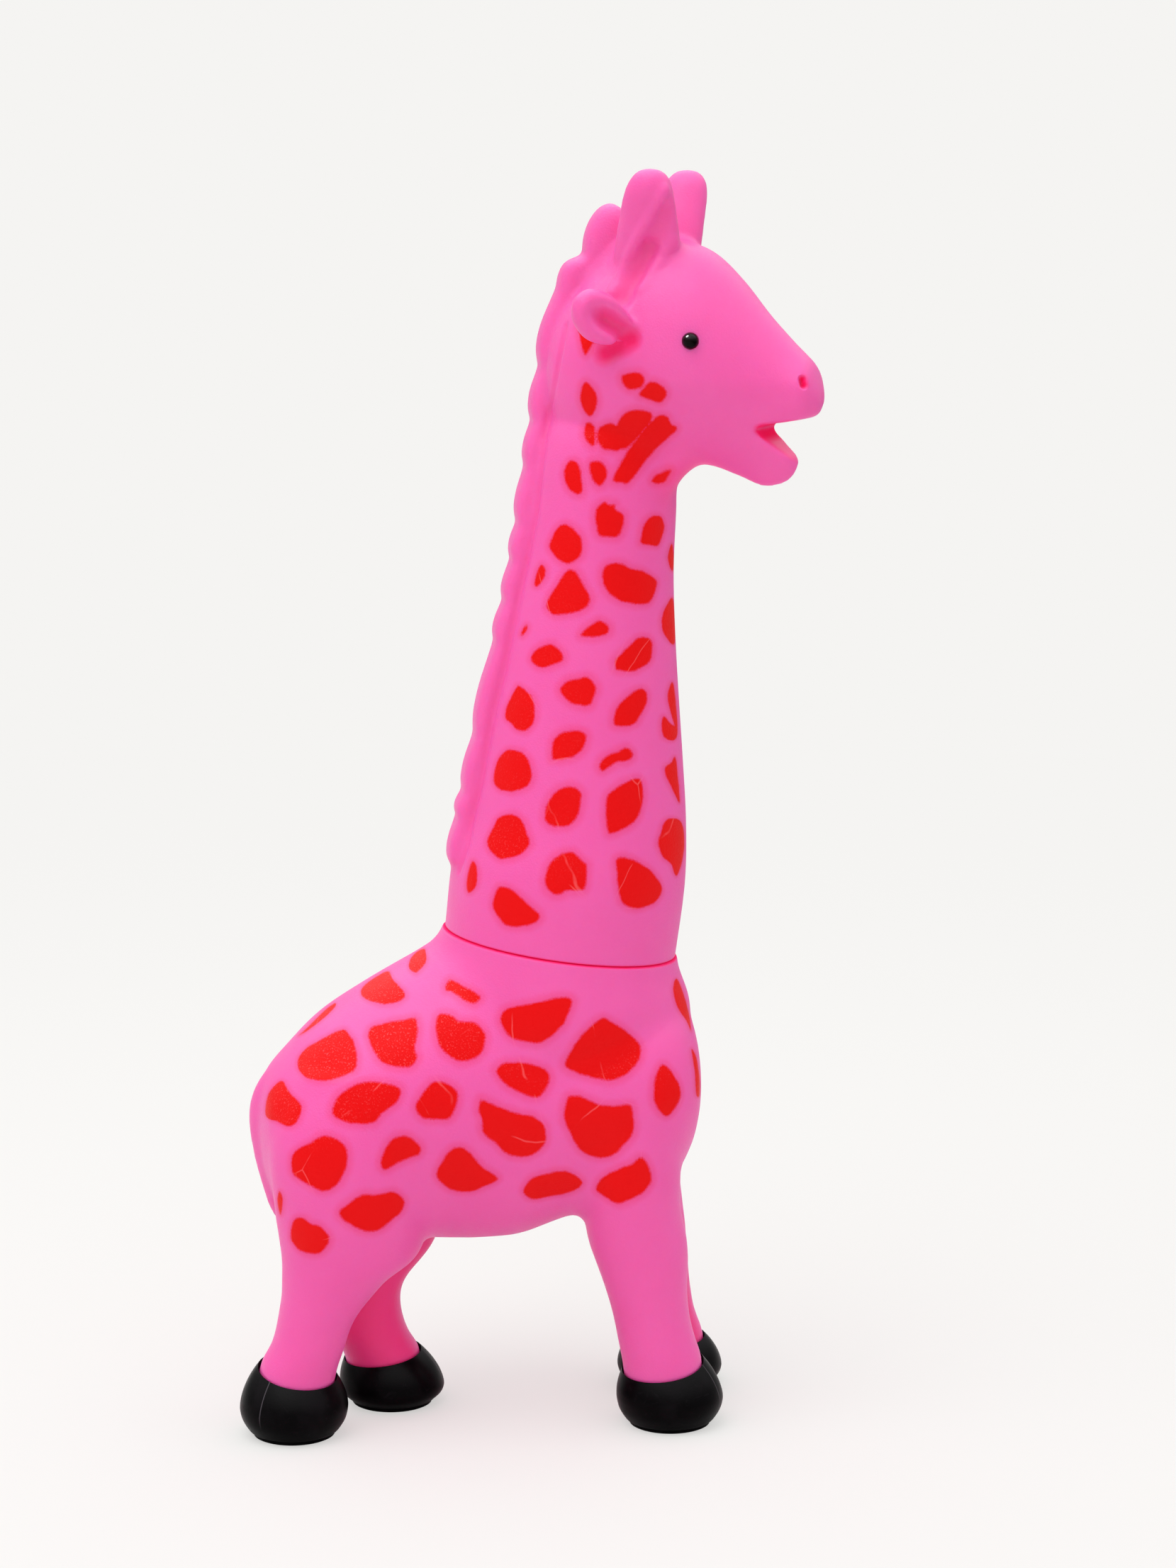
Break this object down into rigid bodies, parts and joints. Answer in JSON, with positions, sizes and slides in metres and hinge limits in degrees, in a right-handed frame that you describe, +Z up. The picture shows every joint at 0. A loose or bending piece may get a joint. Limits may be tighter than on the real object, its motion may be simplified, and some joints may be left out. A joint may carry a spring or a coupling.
{
  "type": "giraffe squeeze toy",
  "caption": "Hollow soft-vinyl giraffe squeeze toy standing on black hooves; its neck, with head, horns and bead eyes, swivels on a tilted round seam above the body; squeaker in the belly.",
  "frame": {"origin": "on the floor under the middle of the toy's box", "axes": "+X is the way the body walks, +Y is the toy's left side, +Z is up"},
  "size_m": [0.1356, 0.0598, 0.2936],
  "materials": {
    "pink_vinyl": "satin soft vinyl with a fine grain",
    "black_vinyl": "satin soft vinyl",
    "black_bead": "polished",
    "white_plastic": "natural polyethylene",
    "reed_strip": "thin film"
  },
  "bodies": {
    "body": {"body_shell": "pink_vinyl", "hoof_front_right": "black_vinyl", "hoof_front_left": "black_vinyl", "hoof_rear_right": "black_vinyl", "hoof_rear_left": "black_vinyl", "squeaker_cup": "white_plastic", "squeaker_reed_plate": "white_plastic", "squeaker_reed": "reed_strip"},
    "neck": {"neck_head_shell": "pink_vinyl", "eye_right": "black_bead", "eye_left": "black_bead"}
  },
  "joints": [
    {"name": "neck_swivel", "type": "hinge", "parent": "body", "child": "neck", "pos_m": [0.00957, 0.00041, 0.114], "axis": [0.1374, 0, 0.9905], "continuous": true}
  ]
}
